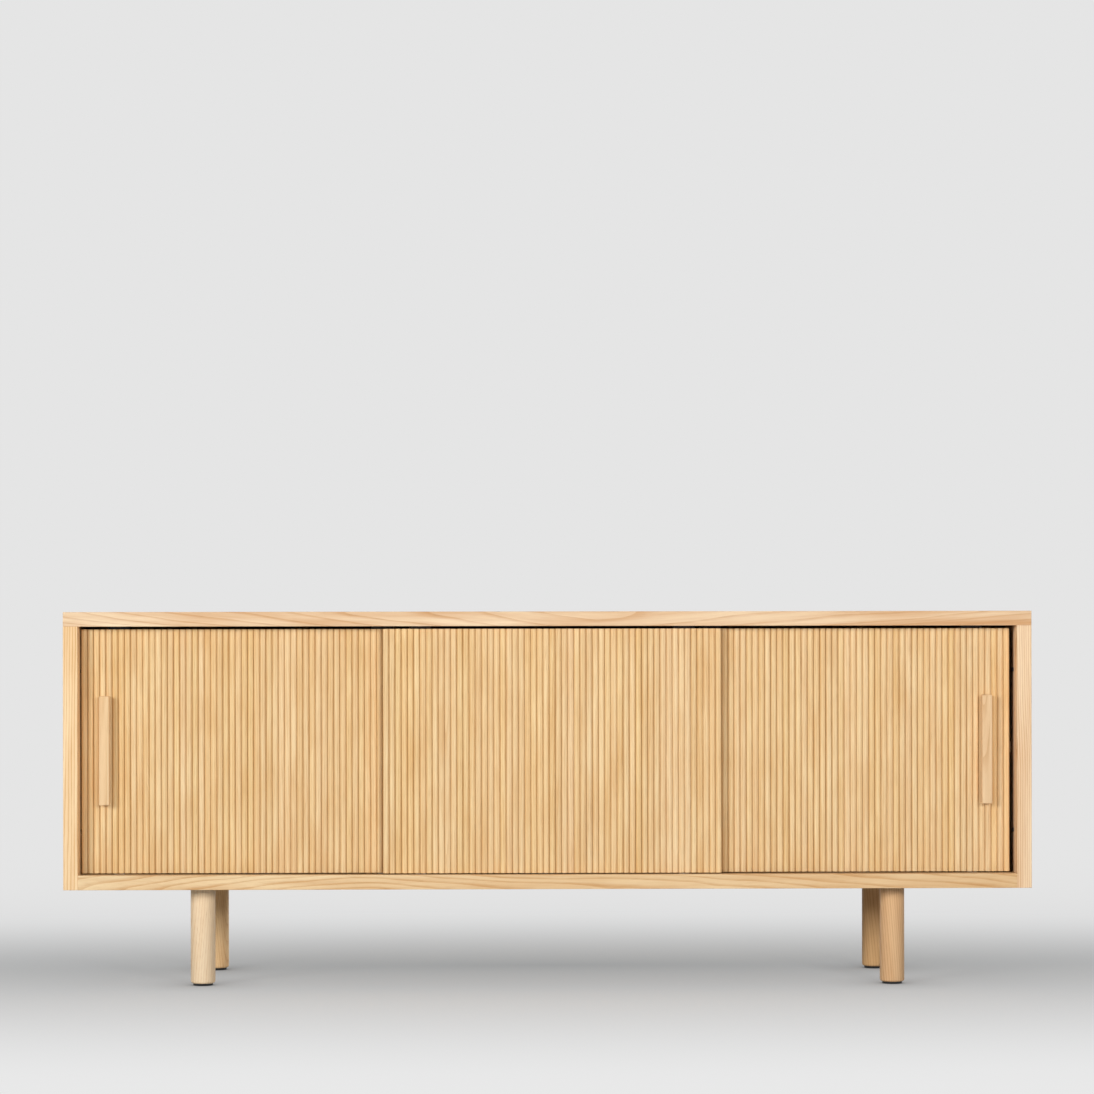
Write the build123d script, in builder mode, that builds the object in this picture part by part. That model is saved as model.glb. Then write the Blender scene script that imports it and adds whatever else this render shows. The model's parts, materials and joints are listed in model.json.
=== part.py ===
# A low media cabinet on four round legs, with three slatted doors that slide on two tracks.
# X runs along the front, Y from the front to the back, and Z up. Sizes are in millimetres.
# The origin is on the floor, midway between the sides and between the front and the back.
import os

from build123d import *

os.makedirs("parts", exist_ok=True)

# Case of solid boards
case_width = 1800.0
case_depth = 450.0
case_height = 516.0
board = 27.0
board_ease = 0.8
divider_thickness = 22.0
divider_setback = 6.0

# Back panel, let into rebates around the case
back_thickness = 8.0
back_inset = 6.0
back_rebate = 10.0
back_fit = 0.5
back_screw_radius = 1.75
back_screw_head_radius = 3.5
back_screw_head = 2.0
back_screw_bite = 14.0
back_screws_per_long_edge = 7
back_screws_per_end = 3
back_screw_end = 60.0

# Cable ports in the back panel, one to a bay, each with a trim
port_width = 110.0
port_height = 46.0
port_round = 12.0
port_level = 78.0
trim_wall = 2.0
trim_flange = 8.0
trim_lip = 2.0
trim_fit = 0.1

# Dowels that join the case
dowel_radius = 4.0
dowel_fit = 0.05
dowel_in_face = 14.0
dowel_in_end = 24.0
dowels_per_side = 5
dowels_per_divider = 4
dowel_end = 45.0

# Sliding doors
slat_pitch = 11.5
slat_gap = 0.4
slat_thickness = 6.0
slat_shoulder = 3.0
door_board = 11.0
door_overlap = 76.0
door_side_gap = 2.5
door_top_gap = 5.0
door_bottom_gap = 2.0
door_clearance = 3.0
front_recess = 13.0
centre_door_offset = 7.7
right_door_ajar = 6.5

# Channels let into the bottom and top boards: the centre door runs in the front ones, and both side
# doors in the rear ones
track_count = 2
track_groove = 5.0
track_wall = 1.5
bottom_track_depth = 4.5
top_track_depth = 8.0

# Rollers under the doors and guides on top of them
roller_radius = 12.0
roller_width = 4.0
roller_edge = 0.6
roller_lift = 0.3
roller_side_play = 0.3
roller_slot_play = 1.0
roller_inset = 70.0
axle_radius = 1.5
axle_seat_fit = 0.02
axle_running_fit = 0.05
housing_thickness = 8.0
housing_length = 48.0
housing_height = 34.0
guide_length = 40.0
guide_root = 20.0
guide_engagement = 5.5
guide_side_play = 0.6

# Rubber stops between the side doors and the side panels
stop_radius = 4.0
stop_play = 0.3
stop_spacing = 300.0

# Handles on the side doors
handle_width = 19.0
handle_height = 203.0
handle_projection = 22.0
handle_round = 2.0
handle_inset = 45.0
handle_screw_spacing = 128.0
handle_screw_radius = 2.0
handle_screw_head_radius = 4.0
handle_screw_head = 2.5
handle_screw_bite = 14.0
screw_fit = 0.05
screw_tip_play = 0.5

# Adjustable shelves on pins
shelf_thickness = 20.0
shelf_side_play = 1.0
shelf_setback = 12.0
shelf_cable_gap = 25.0
shelf_level = 224.0
pin_radius = 2.5
pin_fit = 0.05
pin_in_panel = 8.0
pin_reach = 9.0
pin_inset = 45.0
pin_hole_pitch = 32.0
pin_holes = 5

# Legs
leg_radius = 23.0
leg_length = 180.0
leg_round = 4.5
leg_inset_x = 252.0
leg_inset_y = 75.0
leg_plate = 76.0
leg_plate_thickness = 3.0
leg_plate_corner = 8.0
leg_plate_fit = 0.3
leg_screw_spacing = 56.0
leg_screw_radius = 2.0
leg_screw_head_radius = 3.8
leg_screw_head = 1.6
leg_screw_length = 18.0
leg_bolt_radius = 4.0
leg_bolt_in_leg = 45.0
leg_bolt_above = 18.0
glide_height = 4.0
glide_radius = 18.5
glide_ease = 1.0
glide_stem_radius = 3.0
glide_stem = 14.0

# Levels and planes that follow from the sizes above
case_bottom_z = leg_length + glide_height
floor_z = case_bottom_z + board
case_top_z = case_bottom_z + case_height
ceiling_z = case_top_z - board
opening_height = ceiling_z - floor_z
side_height = ceiling_z - case_bottom_z
front_y = -case_depth / 2
rear_y = case_depth / 2
back_rear_y = rear_y - back_inset
back_front_y = back_rear_y - back_thickness
inner_half = case_width / 2 - board
opening_width = 2 * inner_half
bay_width = (opening_width - 2 * divider_thickness) / 3
divider_x = (bay_width + divider_thickness) / 2
bay_xs = [-bay_width - divider_thickness, 0, bay_width + divider_thickness]

door_width = (opening_width - 2 * door_side_gap + 2 * door_overlap) / 3
door_height = opening_height - door_top_gap - door_bottom_gap
door_bottom_z = floor_z + door_bottom_gap
door_top_z = ceiling_z - door_top_gap
door_mid_z = (door_bottom_z + door_top_z) / 2
door_thickness = slat_thickness + door_board
track_pitch = door_thickness + door_clearance
slat_count = round(door_width / slat_pitch)
slat_step = door_width / slat_count
slat_width = slat_step - slat_gap
roller_z = floor_z - bottom_track_depth + roller_lift + roller_radius
track_outer = track_groove + 2 * track_wall
side_door_x = inner_half - door_side_gap - door_width / 2
handle_mid_z = (floor_z + ceiling_z) / 2

# Each door: its name, its track counted from the front, its middle, and the side its handle is on
doors = [
    ("left", 1, -side_door_x, -1),
    ("centre", 0, centre_door_offset, 0),
    ("right", 1, side_door_x - right_door_ajar, 1),
]

door_space = front_recess + (track_count - 1) * track_pitch + door_thickness
divider_front_y = front_y + door_space + divider_setback
shelf_front_y = divider_front_y + shelf_setback
shelf_rear_y = back_front_y - shelf_cable_gap
shelf_bottom_z = floor_z + shelf_level
pin_z = shelf_bottom_z - pin_radius
pin_ys = [shelf_front_y + pin_inset, shelf_rear_y - pin_inset]
leg_x = case_width / 2 - leg_inset_x
leg_y = case_depth / 2 - leg_inset_y
leg_spots = [(x, y) for x in (-leg_x, leg_x) for y in (-leg_y, leg_y)]


def face_y(track):
    """The plane of the slats' crowns on a door of this track."""
    return front_y + front_recess + track * track_pitch


def board_y(track):
    """The plane where the slats are glued to their door board."""
    return face_y(track) + slat_thickness


def track_y(track):
    """The middle plane of a door board, above and below which its channels run."""
    return board_y(track) + door_board / 2


def evenly(first, last, count):
    """Places spread evenly from first to last, both ends included."""
    return [first + (last - first) * i / (count - 1) for i in range(count)]


def facing_front(y):
    """A sketch plane at depth y that looks to the front, with X and Z as its own axes."""
    return Plane.XZ.offset(-y)


def save(piece, label):
    """Labels a finished piece and writes it under that name."""
    piece.part.label = label
    export_step(piece.part, f"parts/{label}.step")


# Where the channels, dowels, screws and pins go, shared by the pieces that they join
track_spots = [(0, track_y(track)) for track in range(track_count)]
side_dowel_ys = evenly(front_y + dowel_end, back_front_y - dowel_end, dowels_per_side)
divider_dowel_ys = evenly(divider_front_y + dowel_end, back_front_y - dowel_end, dowels_per_divider)
side_mid_x = case_width / 2 - board / 2
top_dowel_spots = [(x, y) for x in (-side_mid_x, side_mid_x) for y in side_dowel_ys]
divider_dowel_spots = [(x, y) for x in (-divider_x, divider_x) for y in divider_dowel_ys]
bottom_mid_z = case_bottom_z + board / 2
bottom_dowel_spots = [(y, bottom_mid_z) for y in side_dowel_ys]

back_screw_line = back_rebate / 2
back_screw_xs = evenly(-inner_half + back_screw_end, inner_half - back_screw_end, back_screws_per_long_edge)
back_screw_zs = evenly(floor_z + back_screw_end, ceiling_z - back_screw_end, back_screws_per_end)
top_screw_spots = [(x, ceiling_z + back_screw_line) for x in back_screw_xs]
bottom_screw_spots = [(x, floor_z - back_screw_line) for x in back_screw_xs]
right_screw_spots = [(inner_half + back_screw_line, z) for z in back_screw_zs]
left_screw_spots = [(-x, z) for x, z in right_screw_spots]

pin_hole_middle = (pin_holes - 1) / 2
pin_hole_zs = [pin_z + (i - pin_hole_middle) * pin_hole_pitch for i in range(pin_holes)]
pin_hole_spots = [(y, z) for y in pin_ys for z in pin_hole_zs]
pin_spots = [(y, pin_z) for y in pin_ys]
handle_screw_zs = [handle_mid_z - handle_screw_spacing / 2, handle_mid_z + handle_screw_spacing / 2]


def drill_pilots(spots):
    """Pilot holes for the back panel's screws, into the boards from the rebate's shoulder."""
    with BuildSketch(facing_front(back_front_y)) as pilots:
        with Locations(*spots):
            Circle(back_screw_radius + screw_fit)
    extrude(pilots.sketch, amount=back_screw_bite + screw_tip_play, mode=Mode.SUBTRACT)


def drill_pin_holes(x, depth):
    """Two rows of shelf-pin holes in the face at x, drilled along X by a signed depth."""
    with BuildSketch(Plane.YZ.offset(x)) as rows:
        with Locations(*pin_hole_spots):
            Circle(pin_radius + pin_fit)
    extrude(rows.sketch, amount=depth, mode=Mode.SUBTRACT)


# Top board, lying over both side panels, with grooves for the top channels underneath
with BuildPart() as top_board:
    with BuildSketch(Plane.XY.offset(ceiling_z)):
        Rectangle(case_width, case_depth)
    extrude(amount=board)
    fillet(top_board.edges(), radius=board_ease)
    with BuildSketch(Plane.XY.offset(ceiling_z)):
        with Locations(*track_spots):
            Rectangle(opening_width, track_outer)
    extrude(amount=top_track_depth + track_wall, mode=Mode.SUBTRACT)
    with BuildSketch(Plane.XY.offset(ceiling_z)):
        with Locations((0, (back_front_y + rear_y) / 2)):
            Rectangle(opening_width + 2 * back_rebate, rear_y - back_front_y)
    extrude(amount=back_rebate, mode=Mode.SUBTRACT)
    with BuildSketch(Plane.XY.offset(ceiling_z)):
        with Locations(*top_dowel_spots, *divider_dowel_spots):
            Circle(dowel_radius + dowel_fit)
    extrude(amount=dowel_in_face, mode=Mode.SUBTRACT)
    drill_pilots(top_screw_spots)
save(top_board, "top_board")

# Bottom board, standing between the side panels, with the bottom channels' grooves on top
# and the recesses of the leg plates underneath
with BuildPart() as bottom_board:
    with BuildSketch(Plane.XY.offset(case_bottom_z)):
        Rectangle(opening_width, case_depth)
    extrude(amount=board)
    fillet(bottom_board.edges(), radius=board_ease)
    with BuildSketch(Plane.XY.offset(floor_z)):
        with Locations(*track_spots):
            Rectangle(opening_width, track_outer)
    extrude(amount=-bottom_track_depth - track_wall, mode=Mode.SUBTRACT)
    with BuildSketch(Plane.XY.offset(floor_z)):
        with Locations((0, (back_front_y + rear_y) / 2)):
            Rectangle(opening_width, rear_y - back_front_y)
    extrude(amount=-back_rebate, mode=Mode.SUBTRACT)
    with BuildSketch(Plane.XY.offset(floor_z)):
        with Locations(*divider_dowel_spots):
            Circle(dowel_radius + dowel_fit)
    extrude(amount=-dowel_in_face, mode=Mode.SUBTRACT)
    for side in (-1, 1):
        with BuildSketch(Plane.YZ.offset(side * inner_half)):
            with Locations(*bottom_dowel_spots):
                Circle(dowel_radius + dowel_fit)
        extrude(amount=-side * dowel_in_end, mode=Mode.SUBTRACT)
    plate_recess = leg_plate + 2 * leg_plate_fit
    with BuildSketch(Plane.XY.offset(case_bottom_z)):
        with Locations(*leg_spots):
            RectangleRounded(plate_recess, plate_recess, leg_plate_corner + leg_plate_fit)
    extrude(amount=leg_plate_thickness, mode=Mode.SUBTRACT)
    with BuildSketch(Plane.XY.offset(case_bottom_z)):
        with Locations(*leg_spots):
            Circle(leg_bolt_radius + screw_fit)
    extrude(amount=leg_bolt_above + screw_tip_play, mode=Mode.SUBTRACT)
    with BuildSketch(Plane.XY.offset(case_bottom_z)):
        with Locations(*leg_spots):
            with GridLocations(leg_screw_spacing, leg_screw_spacing, 2, 2):
                Circle(leg_screw_radius + screw_fit)
    extrude(amount=leg_screw_length + screw_tip_play, mode=Mode.SUBTRACT)
    drill_pilots(bottom_screw_spots)
save(bottom_board, "bottom_board")

# Side panels, standing under the top board and down to the case's underside
for name, side in (("left", -1), ("right", 1)):
    with BuildPart() as side_panel:
        with BuildSketch(Plane.XY.offset(case_bottom_z)):
            with Locations((side * side_mid_x, 0)):
                Rectangle(board, case_depth)
        extrude(amount=side_height)
        fillet(side_panel.edges(), radius=board_ease)
        with BuildSketch(Plane.XY.offset(floor_z - back_rebate)):
            with Locations((side * (inner_half + back_rebate / 2), (back_front_y + rear_y) / 2)):
                Rectangle(back_rebate, rear_y - back_front_y)
        extrude(amount=opening_height + back_rebate, mode=Mode.SUBTRACT)
        with BuildSketch(Plane.XY.offset(ceiling_z)):
            with Locations(*[(side * side_mid_x, y) for y in side_dowel_ys]):
                Circle(dowel_radius + dowel_fit)
        extrude(amount=-dowel_in_end, mode=Mode.SUBTRACT)
        with BuildSketch(Plane.YZ.offset(side * inner_half)):
            with Locations(*bottom_dowel_spots):
                Circle(dowel_radius + dowel_fit)
        extrude(amount=side * dowel_in_face, mode=Mode.SUBTRACT)
        drill_pin_holes(side * inner_half, side * pin_in_panel)
        drill_pilots(right_screw_spots if side > 0 else left_screw_spots)
    save(side_panel, f"{name}_side_panel")

# Dividers between the three bays, standing behind the doors
for name, side in (("left", -1), ("right", 1)):
    with BuildPart() as divider:
        with BuildSketch(Plane.XY.offset(floor_z)):
            with Locations((side * divider_x, (divider_front_y + back_front_y) / 2)):
                Rectangle(divider_thickness, back_front_y - divider_front_y)
        extrude(amount=opening_height)
        fillet(divider.edges().filter_by(Axis.Z), radius=board_ease)
        for z, depth in ((floor_z, dowel_in_end), (ceiling_z, -dowel_in_end)):
            with BuildSketch(Plane.XY.offset(z)):
                with Locations(*[(side * divider_x, y) for y in divider_dowel_ys]):
                    Circle(dowel_radius + dowel_fit)
            extrude(amount=depth, mode=Mode.SUBTRACT)
        drill_pin_holes(side * divider_x - divider_thickness / 2, pin_in_panel)
        drill_pin_holes(side * divider_x + divider_thickness / 2, -pin_in_panel)
    save(divider, f"{name}_divider")

# Dowels of the case: upright ones under the top board and at the dividers, level ones at the bottom board
with BuildPart() as case_dowels:
    with BuildSketch(Plane.XY.offset(ceiling_z - dowel_in_end)):
        with Locations(*top_dowel_spots, *divider_dowel_spots):
            Circle(dowel_radius)
    extrude(amount=dowel_in_end + dowel_in_face)
    with BuildSketch(Plane.XY.offset(floor_z - dowel_in_face)):
        with Locations(*divider_dowel_spots):
            Circle(dowel_radius)
    extrude(amount=dowel_in_end + dowel_in_face)
    for side in (-1, 1):
        with BuildSketch(Plane.YZ.offset(side * (inner_half - dowel_in_end))):
            with Locations(*bottom_dowel_spots):
                Circle(dowel_radius)
        extrude(amount=side * (dowel_in_end + dowel_in_face))
save(case_dowels, "case_dowels")

# Back panel with its cable ports and the holes of its screws
all_back_screws = top_screw_spots + bottom_screw_spots + left_screw_spots + right_screw_spots
port_spots = [(x, floor_z + port_level) for x in bay_xs]
with BuildPart() as back_panel:
    with BuildSketch(facing_front(back_rear_y)):
        with Locations((0, (floor_z + ceiling_z) / 2)):
            Rectangle(
                opening_width + 2 * (back_rebate - back_fit),
                opening_height + 2 * (back_rebate - back_fit),
            )
        with Locations(*port_spots):
            RectangleRounded(port_width, port_height, port_round, mode=Mode.SUBTRACT)
        with Locations(*all_back_screws):
            Circle(back_screw_radius + screw_fit, mode=Mode.SUBTRACT)
    extrude(amount=back_thickness)
    with BuildSketch(facing_front(back_rear_y)):
        with Locations(*all_back_screws):
            Circle(back_screw_head_radius + screw_fit)
    extrude(amount=back_screw_head, mode=Mode.SUBTRACT)
save(back_panel, "back_panel")

with BuildPart() as back_panel_screws:
    with BuildSketch(facing_front(back_rear_y)):
        with Locations(*all_back_screws):
            Circle(back_screw_radius)
    extrude(amount=back_thickness + back_screw_bite)
    with BuildSketch(facing_front(back_rear_y)):
        with Locations(*all_back_screws):
            Circle(back_screw_head_radius)
    extrude(amount=back_screw_head)
save(back_panel_screws, "back_panel_screws")

# Trims of the cable ports: a sleeve through the panel and a lip on its outer face
sleeve_width = port_width - 2 * trim_fit
sleeve_height = port_height - 2 * trim_fit
with BuildPart() as cable_port_trims:
    with BuildSketch(facing_front(back_rear_y)):
        with Locations(*port_spots):
            RectangleRounded(sleeve_width, sleeve_height, port_round - trim_fit)
    extrude(amount=back_thickness)
    with BuildSketch(facing_front(back_rear_y)):
        with Locations(*port_spots):
            RectangleRounded(
                port_width + 2 * trim_flange, port_height + 2 * trim_flange, port_round + trim_flange
            )
    extrude(amount=-trim_lip)
    with BuildSketch(facing_front(back_rear_y + trim_lip)):
        with Locations(*port_spots):
            RectangleRounded(
                sleeve_width - 2 * trim_wall,
                sleeve_height - 2 * trim_wall,
                port_round - trim_fit - trim_wall,
            )
    extrude(amount=back_thickness + trim_lip, mode=Mode.SUBTRACT)
save(cable_port_trims, "cable_port_trims")

# Shelves, one to a bay, and the pins that they lie on
for name, bay_x in zip(("left", "centre", "right"), bay_xs):
    with BuildPart() as shelf:
        with BuildSketch(Plane.XY.offset(shelf_bottom_z)):
            with Locations((bay_x, (shelf_front_y + shelf_rear_y) / 2)):
                Rectangle(bay_width - 2 * shelf_side_play, shelf_rear_y - shelf_front_y)
        extrude(amount=shelf_thickness)
        fillet(shelf.edges(), radius=board_ease)
    save(shelf, f"{name}_shelf")

with BuildPart() as shelf_pins:
    for bay_x in bay_xs:
        for side in (-1, 1):
            with BuildSketch(Plane.YZ.offset(bay_x + side * (bay_width / 2 - pin_reach))):
                with Locations(*pin_spots):
                    Circle(pin_radius)
            extrude(amount=side * (pin_reach + pin_in_panel))
save(shelf_pins, "shelf_pins")


def channels(mouth_z, depth, up):
    """The channels of one board, open at mouth_z; up is the way their mouths face."""
    with BuildSketch(Plane.XY.offset(mouth_z)) as outside:
        with Locations(*track_spots):
            Rectangle(opening_width, track_outer)
    extrude(outside.sketch, amount=-up * (depth + track_wall))
    with BuildSketch(Plane.XY.offset(mouth_z)) as inside:
        with Locations(*track_spots):
            Rectangle(opening_width, track_groove)
    extrude(inside.sketch, amount=-up * depth, mode=Mode.SUBTRACT)


# Channels that the rollers run in, and those that the guides run in
with BuildPart() as bottom_tracks:
    channels(floor_z, bottom_track_depth, 1)
save(bottom_tracks, "bottom_tracks")

with BuildPart() as top_tracks:
    channels(ceiling_z, top_track_depth, -1)
save(top_tracks, "top_tracks")

# Rubber stops on the side panels, which the side doors meet when they are shut
with BuildPart() as door_stops:
    for name, track, middle_x, side in doors:
        if side:
            with BuildSketch(Plane.YZ.offset(side * inner_half)):
                with Locations((track_y(track), door_mid_z)):
                    with GridLocations(0, stop_spacing, 1, 2):
                        Circle(stop_radius)
            extrude(amount=-side * (door_side_gap - stop_play))
save(door_stops, "door_stops")

# One slat's section: straight sides and a crowned front, with its back on the local X axis
with BuildSketch() as slat_section:
    with BuildLine():
        Polyline(
            (-slat_width / 2, -slat_shoulder),
            (-slat_width / 2, 0),
            (slat_width / 2, 0),
            (slat_width / 2, -slat_shoulder),
        )
        ThreePointArc(
            (slat_width / 2, -slat_shoulder), (0, -slat_thickness), (-slat_width / 2, -slat_shoulder)
        )
    make_face()

# Doors: a board with slats glued to its front, rollers let into its lower edge and guides into its
# upper edge; the side doors also carry a bar handle, screwed on from behind
for name, track, middle_x, side in doors:
    middle_y = track_y(track)
    door_rear_y = board_y(track) + door_board
    roller_xs = [middle_x - door_width / 2 + roller_inset, middle_x + door_width / 2 - roller_inset]
    edge_spots = [(x, middle_y) for x in roller_xs]
    handle_x = middle_x + side * (door_width / 2 - handle_inset)
    handle_spots = [(handle_x, z) for z in handle_screw_zs] if side else []

    with BuildPart() as door_panel:
        with BuildSketch(facing_front(door_rear_y)):
            with Locations((middle_x, door_mid_z)):
                Rectangle(door_width, door_height)
        extrude(amount=door_board)
        with BuildSketch(Plane.XY.offset(door_bottom_z)):
            with Locations(*edge_spots):
                Rectangle(housing_length, housing_thickness)
        extrude(amount=housing_height, mode=Mode.SUBTRACT)
        with BuildSketch(Plane.XY.offset(door_top_z)):
            with Locations(*edge_spots):
                Rectangle(guide_length, housing_thickness)
        extrude(amount=-guide_root, mode=Mode.SUBTRACT)
        if side:
            with BuildSketch(facing_front(door_rear_y)):
                with Locations(*handle_spots):
                    Circle(handle_screw_radius + screw_fit)
            extrude(amount=door_board, mode=Mode.SUBTRACT)
            with BuildSketch(facing_front(door_rear_y)):
                with Locations(*handle_spots):
                    Circle(handle_screw_head_radius + screw_fit)
            extrude(amount=handle_screw_head, mode=Mode.SUBTRACT)
    save(door_panel, f"{name}_door_board")

    first_slat_x = middle_x - (door_width - slat_step) / 2
    with BuildPart() as door_slats:
        with BuildSketch(Plane.XY.offset(door_bottom_z)):
            with Locations(*[(first_slat_x + i * slat_step, board_y(track)) for i in range(slat_count)]):
                add(slat_section.sketch)
        extrude(amount=door_height)
        if side:
            with BuildSketch(facing_front(board_y(track))):
                with Locations(*handle_spots):
                    Circle(handle_screw_radius + screw_fit)
            extrude(amount=slat_thickness, mode=Mode.SUBTRACT)
    save(door_slats, f"{name}_door_slats")

    with BuildPart() as housings:
        with BuildSketch(Plane.XY.offset(door_bottom_z)):
            with Locations(*edge_spots):
                Rectangle(housing_length, housing_thickness)
        extrude(amount=housing_height)
        slot_width = roller_width + 2 * roller_side_play
        with BuildSketch(facing_front(middle_y + slot_width / 2)):
            with Locations(*[(x, roller_z) for x in roller_xs]):
                Circle(roller_radius + roller_slot_play)
        extrude(amount=slot_width, mode=Mode.SUBTRACT)
        with BuildSketch(facing_front(middle_y + housing_thickness / 2)):
            with Locations(*[(x, roller_z) for x in roller_xs]):
                Circle(axle_radius + axle_seat_fit)
        extrude(amount=housing_thickness, mode=Mode.SUBTRACT)
    save(housings, f"{name}_door_roller_housings")

    with BuildPart() as axles:
        with BuildSketch(facing_front(middle_y + housing_thickness / 2)):
            with Locations(*[(x, roller_z) for x in roller_xs]):
                Circle(axle_radius)
        extrude(amount=housing_thickness)
    save(axles, f"{name}_door_axles")

    for end, roller_x in zip(("left", "right"), roller_xs):
        with BuildPart() as roller:
            with BuildSketch(facing_front(middle_y + roller_width / 2)):
                with Locations((roller_x, roller_z)):
                    Circle(roller_radius)
            extrude(amount=roller_width)
            chamfer(roller.edges().filter_by(GeomType.CIRCLE), length=roller_edge)
            with BuildSketch(facing_front(middle_y + roller_width / 2)):
                with Locations((roller_x, roller_z)):
                    Circle(axle_radius + axle_running_fit)
            extrude(amount=roller_width, mode=Mode.SUBTRACT)
        save(roller, f"{name}_door_{end}_roller")

    with BuildPart() as guides:
        with BuildSketch(Plane.XY.offset(door_top_z)):
            with Locations(*edge_spots):
                Rectangle(guide_length, housing_thickness)
        extrude(amount=-guide_root)
        with BuildSketch(Plane.XY.offset(door_top_z)):
            with Locations(*edge_spots):
                Rectangle(guide_length, track_groove - 2 * guide_side_play)
        extrude(amount=door_top_gap + guide_engagement)
    save(guides, f"{name}_door_guides")

    if side:
        with BuildPart() as handle:
            with BuildSketch(facing_front(face_y(track))):
                with Locations((handle_x, handle_mid_z)):
                    Rectangle(handle_width, handle_height)
            extrude(amount=handle_projection)
            front_edges = handle.faces().sort_by(Axis.Y)[0].edges()
            fillet(front_edges + handle.edges().filter_by(Axis.Y), radius=handle_round)
            with BuildSketch(facing_front(face_y(track))):
                with Locations(*handle_spots):
                    Circle(handle_screw_radius + screw_fit)
            extrude(amount=handle_screw_bite + screw_tip_play, mode=Mode.SUBTRACT)
        save(handle, f"{name}_handle")

        with BuildPart() as handle_screws:
            with BuildSketch(facing_front(door_rear_y)):
                with Locations(*handle_spots):
                    Circle(handle_screw_radius)
            extrude(amount=door_thickness + handle_screw_bite)
            with BuildSketch(facing_front(door_rear_y)):
                with Locations(*handle_spots):
                    Circle(handle_screw_head_radius)
            extrude(amount=handle_screw_head)
        save(handle_screws, f"{name}_handle_screws")

# Steel plates let into the bottom board, with their screws and the bolts that hold the legs
with BuildPart() as leg_plates:
    with BuildSketch(Plane.XY.offset(case_bottom_z)):
        with Locations(*leg_spots):
            RectangleRounded(leg_plate, leg_plate, leg_plate_corner)
    extrude(amount=leg_plate_thickness)
    with BuildSketch(Plane.XY.offset(case_bottom_z)):
        with Locations(*leg_spots):
            Circle(leg_bolt_radius + screw_fit)
            with GridLocations(leg_screw_spacing, leg_screw_spacing, 2, 2):
                Circle(leg_screw_radius + screw_fit)
    extrude(amount=leg_plate_thickness, mode=Mode.SUBTRACT)
    with BuildSketch(Plane.XY.offset(case_bottom_z)):
        with Locations(*leg_spots):
            with GridLocations(leg_screw_spacing, leg_screw_spacing, 2, 2):
                Circle(leg_screw_head_radius + screw_fit)
    extrude(amount=leg_screw_head, mode=Mode.SUBTRACT)
save(leg_plates, "leg_plates")

with BuildPart() as leg_plate_screws:
    with BuildSketch(Plane.XY.offset(case_bottom_z)):
        with Locations(*leg_spots):
            with GridLocations(leg_screw_spacing, leg_screw_spacing, 2, 2):
                Circle(leg_screw_radius)
    extrude(amount=leg_screw_length)
    with BuildSketch(Plane.XY.offset(case_bottom_z)):
        with Locations(*leg_spots):
            with GridLocations(leg_screw_spacing, leg_screw_spacing, 2, 2):
                Circle(leg_screw_head_radius)
    extrude(amount=leg_screw_head)
save(leg_plate_screws, "leg_plate_screws")

with BuildPart() as leg_bolts:
    with BuildSketch(Plane.XY.offset(case_bottom_z - leg_bolt_in_leg)):
        with Locations(*leg_spots):
            Circle(leg_bolt_radius)
    extrude(amount=leg_bolt_in_leg + leg_bolt_above)
save(leg_bolts, "leg_bolts")

# Round legs, each with a glide underneath
leg_names = ["front_left_leg", "rear_left_leg", "front_right_leg", "rear_right_leg"]
for name, spot in zip(leg_names, leg_spots):
    with BuildPart() as leg:
        with BuildSketch(Plane.XY.offset(glide_height)):
            with Locations(spot):
                Circle(leg_radius)
        extrude(amount=leg_length)
        fillet(leg.faces().sort_by(Axis.Z)[0].edges(), radius=leg_round)
        with BuildSketch(Plane.XY.offset(case_bottom_z)):
            with Locations(spot):
                Circle(leg_bolt_radius + screw_fit)
        extrude(amount=-leg_bolt_in_leg - screw_tip_play, mode=Mode.SUBTRACT)
        with BuildSketch(Plane.XY.offset(glide_height)):
            with Locations(spot):
                Circle(glide_stem_radius + screw_fit)
        extrude(amount=glide_stem + screw_tip_play, mode=Mode.SUBTRACT)
    save(leg, name)

with BuildPart() as leg_glides:
    with BuildSketch(Plane.XY):
        with Locations(*leg_spots):
            Circle(glide_radius)
    extrude(amount=glide_height)
    fillet(leg_glides.faces().group_by(Axis.Z)[0].edges(), radius=glide_ease)
    with BuildSketch(Plane.XY.offset(glide_height)):
        with Locations(*leg_spots):
            Circle(glide_stem_radius)
    extrude(amount=glide_stem)
save(leg_glides, "leg_glides")
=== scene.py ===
import json
import math

import bmesh
import bpy
from mathutils import Matrix, Vector

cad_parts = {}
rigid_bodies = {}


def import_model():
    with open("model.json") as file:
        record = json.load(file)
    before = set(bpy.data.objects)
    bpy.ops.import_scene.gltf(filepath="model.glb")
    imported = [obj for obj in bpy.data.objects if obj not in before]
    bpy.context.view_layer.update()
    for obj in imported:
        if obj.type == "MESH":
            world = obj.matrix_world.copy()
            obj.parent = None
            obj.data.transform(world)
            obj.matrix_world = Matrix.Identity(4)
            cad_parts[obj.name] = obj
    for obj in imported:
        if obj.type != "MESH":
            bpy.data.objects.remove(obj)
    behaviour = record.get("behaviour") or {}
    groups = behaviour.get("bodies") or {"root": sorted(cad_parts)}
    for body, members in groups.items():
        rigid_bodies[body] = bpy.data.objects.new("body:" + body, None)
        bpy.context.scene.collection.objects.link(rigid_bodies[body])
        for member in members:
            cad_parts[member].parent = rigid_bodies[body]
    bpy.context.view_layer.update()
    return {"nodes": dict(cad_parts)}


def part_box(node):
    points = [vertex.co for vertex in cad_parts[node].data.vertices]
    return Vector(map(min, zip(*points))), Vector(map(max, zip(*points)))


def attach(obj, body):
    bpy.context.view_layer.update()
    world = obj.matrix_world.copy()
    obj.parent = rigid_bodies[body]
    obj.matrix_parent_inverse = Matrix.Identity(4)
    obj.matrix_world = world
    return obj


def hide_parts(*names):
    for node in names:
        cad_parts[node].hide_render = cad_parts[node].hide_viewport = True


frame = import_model()

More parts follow.
